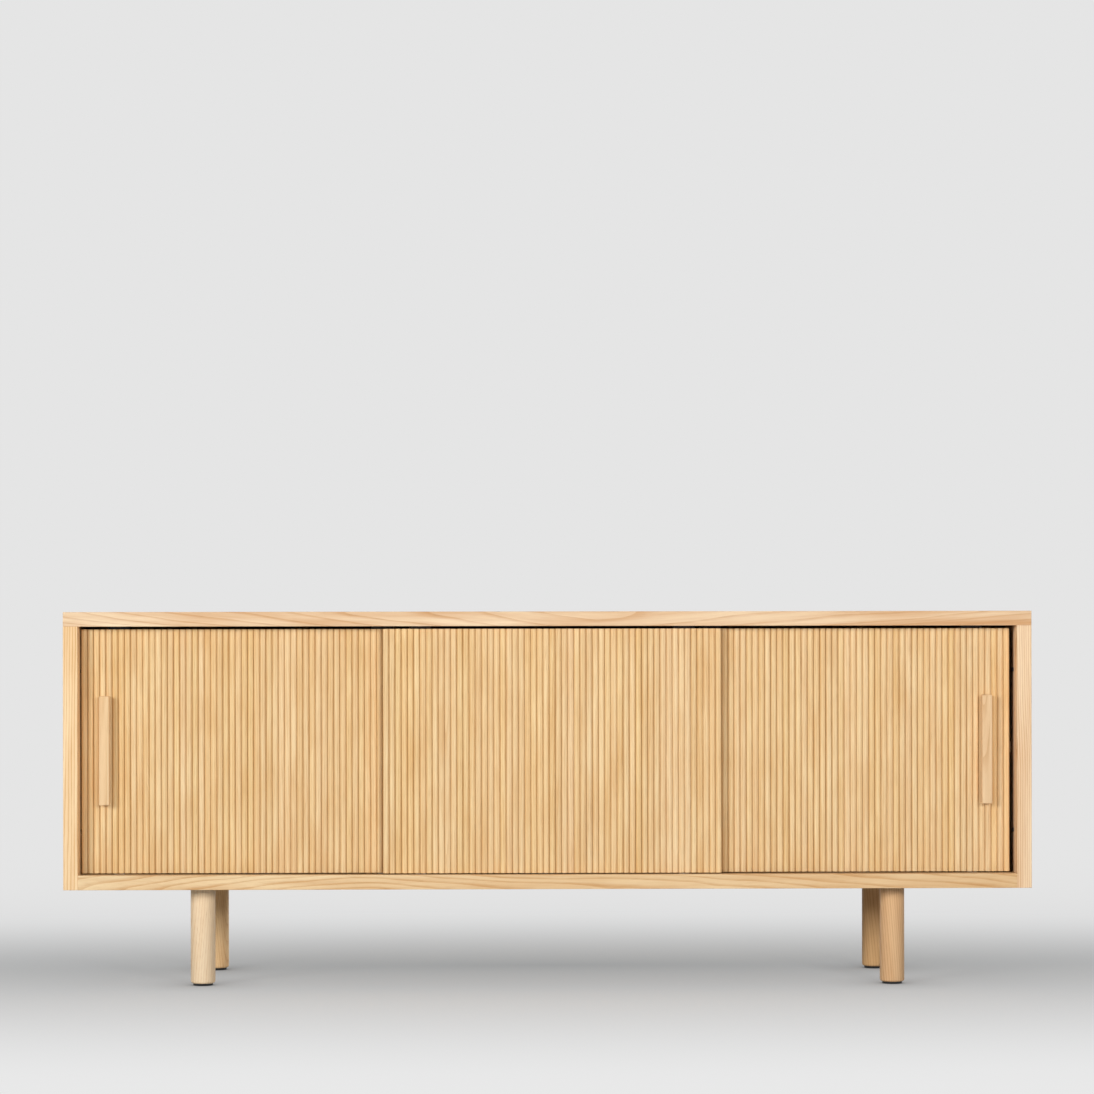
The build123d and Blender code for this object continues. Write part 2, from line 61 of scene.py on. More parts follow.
# Case: the top, the bottom and the two sides are boards of pale ash, edge-glued from staves, planed
# square, eased at their edges and rubbed with a clear satin oil. The top lies over the sides on
# dowels, and the bottom stands between them.
ALONG_X = (0.0, 0.0, 0.0)
UPRIGHT_PANEL = (0.0, math.radians(90), 0.0)
BOARD_PALE, BOARD_LINE = "#F9DEB8", "#CF965C"
PORE_LENGTH, PORE_WIDTH, PORE_DEPTH, PORE_RELIEF = 0.040, 0.0012, 0.00025, 0.35
PORE_BROWN, PORE_STRENGTH, PORE_RIM, PORE_CORE = "#A8703C", 0.3, 0.46, 0.72
LATEWOOD_PORES, FAINTEST_RING = 0.35, 0.45
STREAK_WIDTH, STREAK_PALE, STREAK_WARM = 0.014, 0.3, 0.7
OIL_SATIN, OIL_MATT, OIL_SHEEN = 0.46, 0.62, 0.3


def linear(code):
    """The linear colour of an sRGB hex value."""
    parts = [int(code[i:i + 2], 16) / 255 for i in (1, 3, 5)]
    return [c / 12.92 if c <= 0.04045 else ((c + 0.055) / 1.055) ** 2.4 for c in parts] + [1.0]


def add_node(tree, kind, inputs=None, **settings):
    """Adds a node of one kind, with its settings, and links or sets its inputs."""
    made = tree.nodes.new(kind)
    for key, value in settings.items():
        setattr(made, key, value)
    for key, value in (inputs or {}).items():
        if isinstance(value, bpy.types.NodeSocket):
            tree.links.new(value, made.inputs[key])
        else:
            made.inputs[key].default_value = value
    return made


def new_material(name):
    """An empty Principled material: its node tree and its shader node."""
    material = bpy.data.materials.new(name)
    material.use_nodes = True
    return material, material.node_tree, material.node_tree.nodes["Principled BSDF"]


def place_in_log(tree, axes, across, lots, pith, spread, sweep, lean, tilt):
    """Where a point of a stave lies in the log that it was sawn from, with the log's pith along X.
    The log sweeps, leans and tilts along its length, so its rings run out of the faces as long arches."""
    bend_at, run_aside, run_down, bend_radius = sweep
    nearer, farther, cut_apart = 0.8, 1.2, 7.0
    aside = add_node(
        tree, "ShaderNodeMapRange",
        {"Value": lots["X"], "To Min": pith[0] - spread, "To Max": pith[0] + spread},
    ).outputs[0]
    beside = add_node(tree, "ShaderNodeMath", {0: across, 1: aside}, operation="SUBTRACT").outputs[0]
    off = add_node(tree, "ShaderNodeMath", {0: axes["X"], 1: bend_at}, operation="SUBTRACT").outputs[0]
    bend = add_node(
        tree, "ShaderNodeMath", {0: off, 1: off, 2: bend_radius ** 2}, operation="MULTIPLY_ADD"
    ).outputs[0]
    curve = add_node(tree, "ShaderNodeMath", {0: bend}, operation="SQRT").outputs[0]
    swept = add_node(
        tree, "ShaderNodeMath", {0: curve, 1: run_aside, 2: beside}, operation="MULTIPLY_ADD"
    ).outputs[0]
    slant = add_node(
        tree, "ShaderNodeMapRange", {"Value": lots["Z"], "To Min": lean[0], "To Max": lean[1]}
    ).outputs[0]
    leant = add_node(
        tree, "ShaderNodeMath", {0: axes["X"], 1: slant, 2: swept}, operation="MULTIPLY_ADD"
    ).outputs[0]
    deep = add_node(
        tree, "ShaderNodeMapRange",
        {"Value": lots["Y"], "To Min": nearer * pith[1], "To Max": farther * pith[1]},
    ).outputs[0]
    sunk = add_node(tree, "ShaderNodeMath", {0: axes["Z"], 1: deep}, operation="ADD").outputs[0]
    bowed = add_node(
        tree, "ShaderNodeMath", {0: curve, 1: run_down, 2: sunk}, operation="MULTIPLY_ADD"
    ).outputs[0]
    rise = add_node(
        tree, "ShaderNodeMapRange", {"Value": lots["X"], "To Min": tilt[0], "To Max": tilt[1]}
    ).outputs[0]
    tilted = add_node(
        tree, "ShaderNodeMath", {0: axes["X"], 1: rise, 2: bowed}, operation="MULTIPLY_ADD"
    ).outputs[0]
    along = add_node(
        tree, "ShaderNodeMath", {0: lots["Z"], 1: cut_apart, 2: axes["X"]}, operation="MULTIPLY_ADD"
    ).outputs[0]
    return add_node(tree, "ShaderNodeCombineXYZ", {"X": along, "Y": leant, "Z": tilted}).outputs[0]


def ash(name, box, turn, pale, line, ring=0.0045, early=0.45, stave=0.1, pith=(0.0, 0.08), spread=0.05,
        sweep=(0.0, 0.0, 0.0, 0.1), lean=(-0.02, 0.02), tilt=(-0.03, 0.03), wander=0.008, streak=0.3,
        warmth=0.35, browner=(0.0, 0.0), vary=0.08, contrast=0.7, seed=0.0, chance=None):
    """Oiled ash, a ring-porous wood: broad pale latewood between thin brown lines of open pores.
    The rings run round a pith line beside each stave, so every face of a stave is cut from one log.
    Turn brings the grain to X, the width to Y and the thickness to Z; lengths are in metres. Ring is one
    year's growth, and early the porous share of it. Pith says how far aside of a stave and how far under
    it the pith lies, and sweep gives the log's bend: where it is, how far the log runs aside and down on
    both sides of it, and its radius. Browner is the heartwood tone that the board's two ends have. Chance
    names the attribute that holds the draws of each strip, for a row of strips in place of staves."""
    material, tree, shader = new_material(name)
    middle = (box[0] + box[1]) / 2
    place = add_node(tree, "ShaderNodeTexCoord").outputs["Object"]
    inside = add_node(tree, "ShaderNodeVectorMath", {0: place, 1: middle}, operation="SUBTRACT").outputs[0]
    board = add_node(tree, "ShaderNodeMapping", {"Vector": inside, "Rotation": turn}).outputs["Vector"]
    axes = add_node(tree, "ShaderNodeSeparateXYZ", {"Vector": board}).outputs

    # Each stave, or each strip of a row, draws its own chances for its cut and its tint
    if chance:
        drawn = add_node(tree, "ShaderNodeAttribute", attribute_name=chance).outputs["Vector"]
        across = axes["Y"]
    else:
        count = add_node(
            tree, "ShaderNodeMath", {0: axes["Y"], 1: 1 / stave, 2: 0.5}, operation="MULTIPLY_ADD"
        ).outputs[0]
        number = add_node(tree, "ShaderNodeMath", {0: count}, operation="FLOOR").outputs[0]
        ticket = add_node(tree, "ShaderNodeMath", {0: number, 1: seed}, operation="ADD").outputs[0]
        drawn = add_node(
            tree, "ShaderNodeTexWhiteNoise", {"W": ticket}, noise_dimensions="1D"
        ).outputs["Color"]
        across = add_node(
            tree, "ShaderNodeMath", {0: number, 1: -stave, 2: axes["Y"]}, operation="MULTIPLY_ADD"
        ).outputs[0]
    lots = add_node(tree, "ShaderNodeSeparateXYZ", {"Vector": drawn}).outputs

    log = place_in_log(tree, axes, across, lots, pith, spread, sweep, lean, tilt)

    # Slow waves, 0.6 m long and 90 mm across, and two quicker kinds make the rings uneven
    waves = ((0.6, 0.09, 1.0), (0.3, 0.03, 0.4), (0.1, 0.02, 0.15))
    waved = log
    for long, wide, share in waves:
        spaced = add_node(
            tree, "ShaderNodeVectorMath", {0: log, 1: (1 / long, 1 / wide, 1 / wide)}, operation="MULTIPLY"
        ).outputs[0]
        noise = add_node(
            tree, "ShaderNodeTexNoise", {"Vector": spaced, "Scale": 1.0, "Detail": 1.0}
        ).outputs["Color"]
        even = add_node(
            tree, "ShaderNodeVectorMath", {0: noise, 1: (0.5, 0.5, 0.5)}, operation="SUBTRACT"
        ).outputs[0]
        reach = (0.0, 2 * wander * share, 2 * wander * share)
        waved = add_node(
            tree, "ShaderNodeVectorMath", {0: even, 1: reach, 2: waved}, operation="MULTIPLY_ADD"
        ).outputs[0]

    # A wave texture's ring is a tenth of pi wide at a scale of 1
    rings = add_node(
        tree, "ShaderNodeTexWave", {"Vector": waved, "Scale": 0.1 * math.pi / ring, "Distortion": 0.0},
        wave_type="RINGS", rings_direction="X", wave_profile="SAW",
    ).outputs["Fac"]
    porous = add_node(
        tree, "ShaderNodeMapRange", {"Value": rings, "From Max": early, "To Min": 1.0, "To Max": 0.0},
        interpolation_type="SMOOTHSTEP",
    ).outputs[0]

    # Pores are 0.3 mm wide in the wood; they are drawn 1.2 mm wide and 40 mm long, so that they show
    pore = (1 / PORE_LENGTH, 1 / PORE_WIDTH, 1 / PORE_WIDTH)
    fine = add_node(tree, "ShaderNodeVectorMath", {0: waved, 1: pore}, operation="MULTIPLY").outputs[0]
    grains = add_node(
        tree, "ShaderNodeTexNoise", {"Vector": fine, "Scale": 1.0, "Detail": 2.0}
    ).outputs["Fac"]
    pores = add_node(
        tree, "ShaderNodeMapRange", {"Value": grains, "From Min": PORE_RIM, "From Max": PORE_CORE}
    ).outputs[0]
    weight = add_node(
        tree, "ShaderNodeMapRange", {"Value": porous, "To Min": LATEWOOD_PORES, "To Max": 1.0}
    ).outputs[0]
    open_pores = add_node(tree, "ShaderNodeMath", {0: pores, 1: weight}, operation="MULTIPLY").outputs[0]

    # Broad streaks, 14 mm across, drift between a warmer and a paler tone, and so does the whole length
    broad = (1 / streak, 1 / STREAK_WIDTH, 1 / STREAK_WIDTH)
    drift = add_node(tree, "ShaderNodeVectorMath", {0: waved, 1: broad}, operation="MULTIPLY").outputs[0]
    tones = add_node(
        tree, "ShaderNodeTexNoise", {"Vector": drift, "Scale": 1.0, "Detail": 2.0}
    ).outputs["Fac"]
    warm = add_node(
        tree, "ShaderNodeMapRange",
        {"Value": tones, "From Min": STREAK_PALE, "From Max": STREAK_WARM, "To Max": warmth},
    ).outputs[0]
    half = max(box[1] - box[0]) / 2
    heart = add_node(
        tree, "ShaderNodeMapRange",
        {
            "Value": axes["X"], "From Min": -half, "From Max": half,
            "To Min": browner[0], "To Max": browner[1],
        },
    ).outputs[0]
    brown = add_node(tree, "ShaderNodeMath", {0: warm, 1: heart}, operation="ADD").outputs[0]
    ground = add_node(
        tree, "ShaderNodeMixRGB", {"Fac": brown, "Color1": linear(pale), "Color2": linear(line)}
    ).outputs["Color"]

    # The rings show more in the warmer streaks, and the pores lie over both as brown specks
    uneven = add_node(
        tree, "ShaderNodeMapRange",
        {"Value": tones, "From Min": STREAK_PALE, "From Max": STREAK_WARM, "To Min": FAINTEST_RING},
    ).outputs[0]
    bands = add_node(tree, "ShaderNodeMath", {0: porous, 1: uneven}, operation="MULTIPLY").outputs[0]
    lines = add_node(tree, "ShaderNodeMath", {0: bands, 1: contrast}, operation="MULTIPLY").outputs[0]
    ringed = add_node(
        tree, "ShaderNodeMixRGB", {"Fac": lines, "Color1": ground, "Color2": linear(line)}
    ).outputs["Color"]
    specks = add_node(
        tree, "ShaderNodeMath", {0: open_pores, 1: PORE_STRENGTH}, operation="MULTIPLY"
    ).outputs[0]
    pored = add_node(
        tree, "ShaderNodeMixRGB", {"Fac": specks, "Color1": ringed, "Color2": linear(PORE_BROWN)}
    ).outputs["Color"]

    # Each stave or strip has its own tint, and its open pores take up the oil and dull it
    lighter, richer, redder = 0.3 * vary, 1.2 * vary, 0.04 * vary
    bright = add_node(
        tree, "ShaderNodeMapRange", {"Value": lots["Z"], "To Min": 1 - vary, "To Max": 1 + lighter}
    ).outputs[0]
    sated = add_node(
        tree, "ShaderNodeMapRange", {"Value": lots["X"], "To Min": 1 - richer, "To Max": 1 + richer}
    ).outputs[0]
    hue = add_node(
        tree, "ShaderNodeMapRange", {"Value": lots["Y"], "To Min": 0.5 - redder, "To Max": 0.5 + redder}
    ).outputs[0]
    tinted = add_node(
        tree, "ShaderNodeHueSaturation", {"Color": pored, "Hue": hue, "Saturation": sated, "Value": bright}
    ).outputs["Color"]
    matt = add_node(
        tree, "ShaderNodeMapRange", {"Value": open_pores, "To Min": OIL_SATIN, "To Max": OIL_MATT}
    ).outputs[0]
    hollow = add_node(tree, "ShaderNodeMath", {0: 1.0, 1: open_pores}, operation="SUBTRACT").outputs[0]
    relief = add_node(
        tree, "ShaderNodeBump", {"Height": hollow, "Strength": PORE_RELIEF, "Distance": PORE_DEPTH}
    ).outputs["Normal"]
    for key, value in (("Base Color", tinted), ("Roughness", matt), ("Normal", relief)):
        tree.links.new(value, shader.inputs[key])
    shader.inputs["Specular IOR Level"].default_value = OIL_SHEEN
    return material


def dress(names, material):
    """Gives CAD nodes a material in place of their plain one."""
    for name in names:
        slots = frame["nodes"][name].data.materials
        slots.clear()
        slots.append(material)


top_wood = ash(
    "oiled_ash_top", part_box("top_board"), ALONG_X, BOARD_PALE, BOARD_LINE, ring=0.0055, early=0.35,
    pith=(0.035, -0.005), spread=0.01, sweep=(0.09, -0.03, -0.05, 0.02), lean=(0.01, 0.01),
    tilt=(0.0, 0.0), wander=0.006, warmth=0.6, browner=(0.0, 0.3), seed=3.0,
)
bottom_wood = ash(
    "oiled_ash_bottom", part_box("bottom_board"), ALONG_X, "#FCE0B4", BOARD_LINE, ring=0.0055, early=0.5,
    pith=(0.095, 0.06), spread=0.01, sweep=(-0.35, -0.0525, 0.0, 0.05), lean=(0.0175, 0.0175),
    tilt=(0.0, 0.0), wander=0.01, warmth=0.4, browner=(0.0, 0.25), seed=11.0,
)
dress(["top_board"], top_wood)
dress(["bottom_board"], bottom_wood)
for panel, seed in (("left_side_panel", 17.0), ("right_side_panel", 23.0)):
    wood = ash(
        f"oiled_ash_{panel}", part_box(panel), UPRIGHT_PANEL, BOARD_PALE, BOARD_LINE, ring=0.004,
        contrast=0.85, seed=seed,
    )
    dress([panel], wood)

# Dowels: plain beech pins, 8 mm across, glued into the ends of the boards. Beech is even and fine,
# with short brown flecks along the grain.
fleck_length, fleck_width = 0.003, 0.0006


def flecked(name, fleck, pale, dark, detail=2.0, **inputs):
    """A material that drifts between two tones, in flecks of this size along X, Y and Z.
    Each of the shader's other inputs has one value, or a pair of values that the flecks drift between."""
    material, tree, shader = new_material(name)
    place = add_node(tree, "ShaderNodeTexCoord").outputs["Object"]
    spaced = add_node(
        tree, "ShaderNodeVectorMath", {0: place, 1: [1 / size for size in fleck]}, operation="MULTIPLY"
    ).outputs[0]
    flecks = add_node(
        tree, "ShaderNodeTexNoise", {"Vector": spaced, "Scale": 1.0, "Detail": detail}
    ).outputs["Fac"]
    tones = add_node(
        tree, "ShaderNodeMixRGB", {"Fac": flecks, "Color1": linear(pale), "Color2": linear(dark)}
    ).outputs["Color"]
    tree.links.new(tones, shader.inputs["Base Color"])
    for key, value in inputs.items():
        if isinstance(value, tuple):
            drift = add_node(
                tree, "ShaderNodeMapRange", {"Value": flecks, "To Min": value[0], "To Max": value[1]}
            ).outputs[0]
            tree.links.new(drift, shader.inputs[key])
        else:
            shader.inputs[key].default_value = value
    return material


beech = flecked(
    "turned_beech", (fleck_width, fleck_width, fleck_length), "#D9B088", "#B98A60", Roughness=0.6
)
dress(["case_dowels"], beech)

# Dividers: two upright ash boards behind the doors, dowelled to the top and the bottom, with rows of
# holes for the shelf pins.
INSIDE_PALE, INSIDE_LINE = "#F3D5AA", "#D6A36C"
for divider, seed in (("left_divider", 29.0), ("right_divider", 31.0)):
    wood = ash(f"oiled_ash_{divider}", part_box(divider), UPRIGHT_PANEL, INSIDE_PALE, INSIDE_LINE, seed=seed)
    dress([divider], wood)

# Shelves: one loose ash board to a bay, lying on four steel pins pushed into the holes, two at each
# end. The pins are zinc plated, a bright grey metal with fine marks along it.
for shelf, seed in (("left_shelf", 37.0), ("centre_shelf", 41.0), ("right_shelf", 43.0)):
    dress([shelf], ash(f"oiled_ash_{shelf}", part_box(shelf), ALONG_X, INSIDE_PALE, INSIDE_LINE, seed=seed))

brush_length, brush_width = 0.012, 0.0004
zinc = flecked(
    "zinc_plated_steel", (brush_length, brush_width, brush_width), "#C6C8C9", "#A9ABAC",
    Roughness=(0.24, 0.42), Metallic=1.0,
)
dress(["shelf_pins"], zinc)

# Back panel: ash-faced plywood, 8 mm thick, let into a rebate all round and screwed from behind. Its
# veneer is peeled, so the rings open into wide flames, and its edges show the crossed plies.
BACK_TURN = (math.radians(-90), 0.0, 0.0)
VENEER_PALE, VENEER_LINE = "#EFD0A4", "#C9945C"
PLY, PLY_PALE, PLY_DARK = 0.0016, "#E7C597", "#B98A58"


def show_plies(material):
    """Lays the stripes of the crossed plies over the edges of a plywood panel that is thin along Y."""
    tree = material.node_tree
    colour = tree.nodes["Principled BSDF"].inputs["Base Color"]
    faces = colour.links[0].from_socket
    place = add_node(tree, "ShaderNodeTexCoord").outputs
    depth = add_node(tree, "ShaderNodeSeparateXYZ", {"Vector": place["Object"]}).outputs["Y"]
    facing = add_node(tree, "ShaderNodeSeparateXYZ", {"Vector": place["Normal"]}).outputs["Y"]
    plies = add_node(tree, "ShaderNodeMath", {0: depth, 1: 2 * PLY}, operation="PINGPONG").outputs[0]
    crossed = add_node(tree, "ShaderNodeMath", {0: plies, 1: PLY}, operation="GREATER_THAN").outputs[0]
    stripes = add_node(
        tree, "ShaderNodeMixRGB", {"Fac": crossed, "Color1": linear(PLY_PALE), "Color2": linear(PLY_DARK)}
    ).outputs["Color"]
    square = add_node(tree, "ShaderNodeMath", {0: facing}, operation="ABSOLUTE").outputs[0]
    half_square = 0.5
    edge = add_node(tree, "ShaderNodeMath", {0: square, 1: half_square}, operation="LESS_THAN").outputs[0]
    edged = add_node(
        tree, "ShaderNodeMixRGB", {"Fac": edge, "Color1": faces, "Color2": stripes}
    ).outputs["Color"]
    tree.links.new(edged, colour)


back_veneer = ash(
    "ash_veneer_back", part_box("back_panel"), BACK_TURN, VENEER_PALE, VENEER_LINE, ring=0.009, stave=0.24,
    pith=(0.0, 0.10), wander=0.02, seed=47.0,
)
show_plies(back_veneer)
dress(["back_panel"], back_veneer)

# Port trims: moulded black plastic sleeves with a lip, pressed into the three cable ports. The mould
# gives them a fine sparked grain.
grit, grit_depth, grit_relief = 0.0007, 0.0001, 0.4
black = flecked(
    "moulded_black_plastic", (grit, grit, grit), "#1B1B1C", "#262627", detail=1.0, Roughness=0.55
)
tree = black.node_tree
grains = tree.nodes["Noise Texture"].outputs["Fac"]
relief = add_node(
    tree, "ShaderNodeBump", {"Height": grains, "Strength": grit_relief, "Distance": grit_depth}
).outputs["Normal"]
tree.links.new(relief, tree.nodes["Principled BSDF"].inputs["Normal"])
dress(["cable_port_trims"], black)

# Back screws: countersunk steel screws with a cross recess, zinc plated, set flush in the back panel.
# Each stops at its own turn.
SCENE = bpy.context.scene
HEAD_STEPS = 24


def cross_points(arm, half, height):
    """The twelve corners of an upright cross, as long as arm and as wide as twice half."""
    corner = [(arm, -half, height), (arm, half, height), (half, half, height)]
    return [Matrix.Rotation(i * math.pi / 2, 3, "Z") @ Vector(p) for i in range(4) for p in corner]


def ring_points(radius, height):
    """Points round a circle about Z."""
    turns = [math.tau * i / HEAD_STEPS for i in range(HEAD_STEPS)]
    return [Vector((radius * math.cos(t), radius * math.sin(t), height)) for t in turns]


def loop_of(shape, points):
    """Adds a closed loop of points, and returns its edges."""
    corners = [shape.verts.new(p) for p in points]
    return [shape.edges.new((a, b)) for a, b in zip(corners, corners[1:] + corners[:1])]


def smooth_mesh(name, shape, sharp):
    """Makes a mesh of a finished shape, smooth but for the edges that turn by more than sharp degrees."""
    mesh = bpy.data.meshes.new(name)
    shape.to_mesh(mesh)
    shape.free()
    mesh.shade_smooth()
    mesh.set_sharp_from_angle(angle=math.radians(sharp))
    return mesh


def cross_screw(head, head_depth, shank, length):
    """A screw that stands on Z with its flat head at 0: a recess, a cone and a plain shank."""
    shape = bmesh.new()
    arm, half, recess = 0.62 * head, 0.15 * head, 0.8 * head_depth
    low_arm, low_half, point = 0.55 * arm, 0.7 * half, 0.25 * shank
    rim = loop_of(shape, ring_points(head, 0))
    mouth = loop_of(shape, cross_points(arm, half, 0))
    floor = loop_of(shape, cross_points(low_arm, low_half, -recess))
    neck = loop_of(shape, ring_points(shank, -head_depth))
    root = loop_of(shape, ring_points(shank, shank - length))
    tip = loop_of(shape, ring_points(point, -length))
    bmesh.ops.triangle_fill(shape, edges=rim + mouth)
    for upper, lower in ((mouth, floor), (rim, neck), (neck, root), (root, tip)):
        bmesh.ops.bridge_loops(shape, edges=upper + lower)
    for end in (floor, tip):
        bmesh.ops.triangle_fill(shape, edges=end)
    bmesh.ops.recalc_face_normals(shape, faces=shape.faces)
    return bpy.data.objects.new("cross_screw", smooth_mesh("cross_screw", shape, sharp=35))


def new_tree(name, inputs):
    """A Geometry Nodes tree with these named inputs: the tree and the sockets of its inputs."""
    tree = bpy.data.node_groups.new(name, "GeometryNodeTree")
    for label, kind in inputs.items():
        tree.interface.new_socket(label, in_out="INPUT", socket_type=kind)
    tree.interface.new_socket("Pieces", in_out="OUTPUT", socket_type="NodeSocketGeometry")
    return tree, add_node(tree, "NodeGroupInput").outputs


def end_tree(tree, instances, material):
    """Ends a tree with the real meshes of its instances, in their material."""
    real = add_node(tree, "GeometryNodeRealizeInstances", {"Geometry": instances}).outputs["Geometry"]
    done = add_node(
        tree, "GeometryNodeSetMaterial", {"Geometry": real, "Material": material}
    ).outputs["Geometry"]
    add_node(tree, "NodeGroupOutput", {"Pieces": done})


def grow(name, mesh, tree, values):
    """Runs a tree on a mesh with values for its named inputs, and keeps the result as a plain mesh."""
    piece = bpy.data.objects.new(name, mesh)
    SCENE.collection.objects.link(piece)
    modifier = piece.modifiers.new(tree.name, "NODES")
    modifier.node_group = tree
    for socket in tree.interface.items_tree:
        if socket.in_out == "INPUT" and socket.name in values:
            modifier[socket.identifier] = values[socket.name]
    made = bpy.data.meshes.new_from_object(piece.evaluated_get(bpy.context.evaluated_depsgraph_get()))
    piece.modifiers.remove(modifier)
    piece.data = made
    return piece


def seat(piece, body, slot, *replaced):
    """Makes a finished piece ride on a body, in the place of the nodes that it stands for."""
    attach(piece, body)
    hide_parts(*replaced)


screws_tree, given = new_tree("screws", {
    "Spots": "NodeSocketGeometry", "Screw": "NodeSocketObject", "Facing": "NodeSocketVector",
    "Seed": "NodeSocketInt", "Steel": "NodeSocketMaterial",
})
screw = add_node(screws_tree, "GeometryNodeObjectInfo", {"Object": given["Screw"]}).outputs["Geometry"]
turn = add_node(
    screws_tree, "FunctionNodeRandomValue", {2: 0.0, 3: math.tau, "Seed": given["Seed"]}, data_type="FLOAT"
).outputs[1]
spun = add_node(screws_tree, "ShaderNodeCombineXYZ", {"Z": turn}).outputs[0]
spin = add_node(screws_tree, "FunctionNodeEulerToRotation", {"Euler": spun}).outputs[0]
aim = add_node(screws_tree, "FunctionNodeEulerToRotation", {"Euler": given["Facing"]}).outputs[0]
stand = add_node(
    screws_tree, "FunctionNodeRotateRotation", {"Rotation": aim, "Rotate By": spin}, rotation_space="LOCAL"
).outputs[0]
driven = add_node(
    screws_tree, "GeometryNodeInstanceOnPoints",
    {"Points": given["Spots"], "Instance": screw, "Rotation": stand},
).outputs["Instances"]
end_tree(screws_tree, driven, given["Steel"])


def screws(name, spots, facing, pattern, seed):
    """Screws like pattern, driven at these spots with their heads turned by facing."""
    mesh = bpy.data.meshes.new(name)
    mesh.from_pydata(spots, [], [])
    SCENE.collection.objects.link(pattern)
    values = {"Screw": pattern, "Facing": facing, "Seed": seed, "Steel": zinc}
    made = grow(name, mesh, screws_tree, values)
    bpy.data.objects.remove(pattern)
    return made


def evenly(first, last, count):
    """Places spread evenly from first to last, both ends included."""
    return [first + (last - first) * i / (count - 1) for i in range(count)]


HEAD_TO_BACK = (math.radians(-90), 0.0, 0.0)
back_screw_head, back_screw_depth, back_screw_shank, back_screw_length = 0.0035, 0.002, 0.00175, 0.022
screws_along, screws_up, screw_end = 7, 3, 0.060
low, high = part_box("back_panel_screws")
inner_low = Vector((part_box("left_side_panel")[1].x, 0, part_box("bottom_board")[1].z))
inner_high = Vector((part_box("right_side_panel")[0].x, 0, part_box("top_board")[0].z))
columns = evenly(inner_low.x + screw_end, inner_high.x - screw_end, screws_along)
rows = evenly(inner_low.z + screw_end, inner_high.z - screw_end, screws_up)
edge_xs = (low.x + back_screw_head, high.x - back_screw_head)
edge_zs = (low.z + back_screw_head, high.z - back_screw_head)
spots = [(x, high.y, z) for x in columns for z in edge_zs]
spots += [(x, high.y, z) for x in edge_xs for z in rows]
pattern = cross_screw(back_screw_head, back_screw_depth, back_screw_shank, back_screw_length)
back_screws = screws("back_screws", spots, HEAD_TO_BACK, pattern, seed=5)
seat(back_screws, "case", "zinc_steel", "back_panel_screws")

# Door tracks: bronze anodised aluminium channels, drawn through a die, let into the bottom and the top.
# Drawing leaves faint lines along them.
die_length, die_width = 0.3, 0.0006
bronze = flecked(
    "bronze_anodised_aluminium", (die_length, die_width, die_width), "#6E563E", "#4E3B29",
    Roughness=(0.30, 0.48), Metallic=1.0,
)
dress(["bottom_tracks", "top_tracks"], bronze)

# Door stops: soft moulded studs of black rubber on the side panels, where the outer doors come to rest.
# The rubber has a dull, faintly clouded skin.
bloom = 0.002
rubber = flecked("moulded_black_rubber", (bloom, bloom, bloom), "#1C1C1B", "#272726", Roughness=0.8)
dress(["door_stops"], rubber)

# Door boards: 11 mm ash plywood with its grain upright, which the slats are glued to. Their edges show
# the crossed plies.
UPRIGHT_DOOR = (math.radians(90), 0.0, math.radians(90))
DOORS = ("left", "centre", "right")
for door, seed in zip(DOORS, (53.0, 59.0, 61.0)):
    veneer = ash(
        f"ash_veneer_{door}_door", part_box(f"{door}_door_board"), UPRIGHT_DOOR, VENEER_PALE, VENEER_LINE,
        ring=0.008, stave=0.16, wander=0.015, seed=seed,
    )
    show_plies(veneer)
    dress([f"{door}_door_board"], veneer)

# Door slats: 55 strips of ash to a door, moulded with a crowned front, eased at both ends and glued side
# by side to the door board. Each strip has its own tint, and its flanks are darkened towards the grooves
# between the strips with painted shade, deeper on some strips than on others.
slat_count, slat_gap, slat_shoulder, slat_ease, crown_steps = 55, 0.0004, 0.003, 0.0004, 12
groove_shade_brown, groove_shade_start, least_groove_shade, most_groove_shade = "#B4803F", 0.6, 0.15, 0.65


def slat_mesh(width, low, high):
    """One slat about x 0: straight sides, an arc across the front and eased ends."""
    thickness = high.y - low.y
    rise = thickness - slat_shoulder
    radius = (width * width / 4 + rise * rise) / (2 * rise)
    half_turn = math.asin(width / 2 / radius)
    swing = evenly(-half_turn, half_turn, crown_steps + 1)
    crown = [(radius * math.sin(t), thickness - radius + radius * math.cos(t)) for t in swing]
    outline = [(-width / 2, 0.0)] + crown + [(width / 2, 0.0)]
    shape = bmesh.new()
    rings = []
    for z, inset in ((low.z, 1), (low.z + slat_ease, 0), (high.z - slat_ease, 0), (high.z, 1)):
        narrow = 1 - 2 * inset * slat_ease / width
        flat = 1 - inset * slat_ease / thickness
        rings.append([shape.verts.new((x * narrow, high.y - y * flat, z)) for x, y in outline])
    for lower, upper in zip(rings, rings[1:]):
        for i in range(len(outline)):
            j = (i + 1) % len(outline)
            shape.faces.new((lower[i], lower[j], upper[j], upper[i]))
    shape.faces.new(rings[0])
    shape.faces.new(rings[-1])
    bmesh.ops.recalc_face_normals(shape, faces=shape.faces)
    return smooth_mesh("slat", shape, sharp=30)


